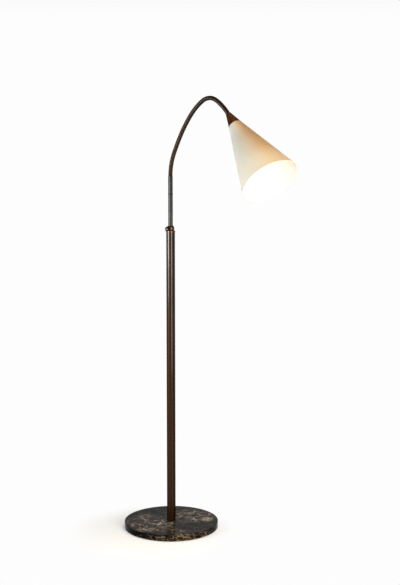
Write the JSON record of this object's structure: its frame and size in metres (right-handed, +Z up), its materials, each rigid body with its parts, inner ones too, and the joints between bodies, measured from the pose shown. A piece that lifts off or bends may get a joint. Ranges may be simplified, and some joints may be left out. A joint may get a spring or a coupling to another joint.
{
  "type": "floor lamp",
  "caption": "Floor lamp with a stone disc base, telescopic column locked by a ball-headed clamp screw, ribbed gooseneck and a translucent cone shade.",
  "frame": {"origin": "on the floor, under the middle of the stone base", "axes": "+Z up along the column, +X along the gooseneck's reach at rest"},
  "size_m": [0.6902, 0.305, 1.3799],
  "materials": {
    "felt": "felt",
    "stone": "polished",
    "steel": "satin",
    "outlet_rubber": "matte",
    "brass": "satin",
    "column_brown": "dark patina, polished",
    "bronze": "aged, polished",
    "bush_plastic": "plain",
    "riser_grey": "grey patina, satin",
    "neck_brown": "satin",
    "cap_brown": "dark patina, satin",
    "shade_cream": "translucent",
    "ceramic": "glazed",
    "holder_dark": "moulded",
    "bulb_metal": "plain",
    "bulb_glass": "opal"
  },
  "bodies": {
    "stand": {"felt_pad": "felt", "stone_base": "stone", "base_washer": "steel", "base_nut": "steel", "tie_rod": "steel", "cord_outlet": "outlet_rubber", "foot_plug": "brass", "column_tube": "column_brown", "collar": "bronze"},
    "carriage": {"guide_bush": "bush_plastic"},
    "riser": {"retaining_rings": "steel", "riser_tube": "riser_grey", "neck_coupling": "riser_grey", "neck_ferrule": "riser_grey", "gooseneck_1": "neck_brown"},
    "neck_2": {"gooseneck_2": "neck_brown"},
    "neck_3": {"gooseneck_3": "neck_brown"},
    "neck_4": {"gooseneck_4": "neck_brown"},
    "neck_5": {"gooseneck_5": "neck_brown"},
    "head": {"gooseneck_6": "neck_brown", "neck_cap": "cap_brown", "shade": "shade_cream", "head_nipple": "steel", "gallery_washer": "steel", "nipple_nut": "steel", "lampholder_cap": "brass", "lampholder_insert": "ceramic", "lampholder_skirt": "holder_dark", "screw_shell": "brass", "centre_contact": "brass", "terminal_screws": "steel", "bulb_cap": "bulb_metal", "bulb_glass": "bulb_glass"},
    "pad": {"clamp_pad": "brass"},
    "knob": {"clamp_screw": "steel", "clamp_knob": "bronze"}
  },
  "joints": [
    {"name": "height_slide", "type": "slide", "parent": "stand", "child": "carriage", "axis": [0, 0, 1], "range_m": [-0.098, 0.38]},
    {"name": "riser_turn", "type": "hinge", "parent": "carriage", "child": "riser", "pos_m": [0, 0, 0.5345], "axis": [0, 0, 1], "range_deg": [-175, 175]},
    {"name": "neck_bend_lower", "type": "hinge", "parent": "riser", "child": "neck_2", "pos_m": [0.01776, 0, 1.21068], "axis": [0, 1, 0], "range_deg": [-25, 20]},
    {"name": "neck_sway_lower", "type": "hinge", "parent": "neck_2", "child": "neck_3", "pos_m": [0.05626, 0, 1.27111], "axis": [0.809, 0, -0.5878], "range_deg": [-25, 25]},
    {"name": "neck_bend_middle", "type": "hinge", "parent": "neck_3", "child": "neck_4", "pos_m": [0.10324, 0, 1.32516], "axis": [0, 1, 0], "range_deg": [-25, 20]},
    {"name": "neck_sway_upper", "type": "hinge", "parent": "neck_4", "child": "neck_5", "pos_m": [0.16173, 0, 1.36611], "axis": [0.4384, 0, -0.8988], "range_deg": [-25, 25]},
    {"name": "neck_bend_upper", "type": "hinge", "parent": "neck_5", "child": "head", "pos_m": [0.23069, 0, 1.36431], "axis": [0, 1, 0], "range_deg": [-25, 15]},
    {"name": "pad_slide", "type": "slide", "parent": "stand", "child": "pad", "axis": [0.4067, -0.9135, 0], "range_m": [0, 0.0016]},
    {"name": "knob_turn", "type": "hinge", "parent": "pad", "child": "knob", "pos_m": [0, 0, 0.975], "axis": [0.4067, -0.9135, 0], "range_deg": [0, 720]}
  ],
  "couplings": [
    {"joint": "knob_turn", "follows": "pad_slide", "rad_per_m": 7854}
  ]
}
